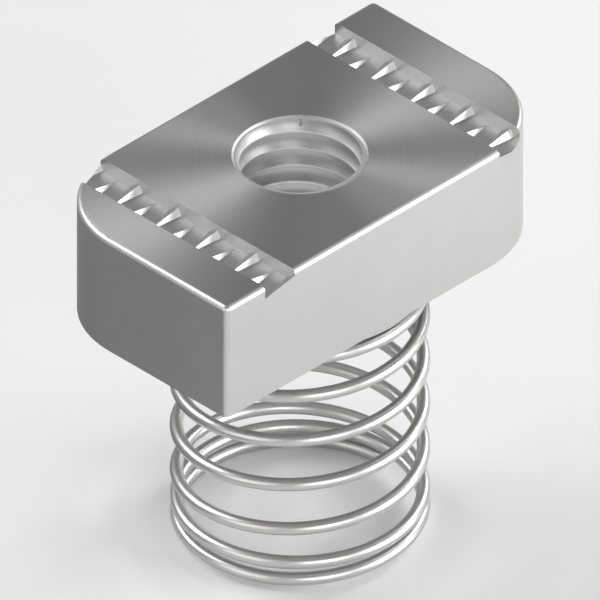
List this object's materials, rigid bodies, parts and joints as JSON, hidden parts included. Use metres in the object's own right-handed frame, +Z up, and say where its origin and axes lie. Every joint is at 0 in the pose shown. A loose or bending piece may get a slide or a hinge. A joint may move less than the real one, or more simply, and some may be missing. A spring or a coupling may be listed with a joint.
{
  "type": "strut spring nut",
  "caption": "Toothed channel nut with a threaded bore, carried on a coil spring that holds it up against the lips of a strut channel.",
  "frame": {"origin": "on the thread's axis, at the level that the spring's foot stands on", "axes": "+Z up along the thread, X along the nut's long side, Y across the nut"},
  "size_m": [0.0354, 0.0202, 0.0325],
  "materials": {
    "nut_steel": "machined and plated, with fine turned rings on the toothed face",
    "spring_wire": "bright drawn wire"
  },
  "bodies": {
    "spring": {"coil_spring": "spring_wire"},
    "nut": {"channel_nut": "nut_steel"}
  },
  "joints": [
    {"name": "spring_compression", "type": "slide", "parent": "spring", "child": "nut", "axis": [0, 0, 1], "range_m": [-0.013, 0], "stiffness_N_per_m": 334, "springref_m": 0.00144, "deforming": ["coil_spring"]}
  ]
}
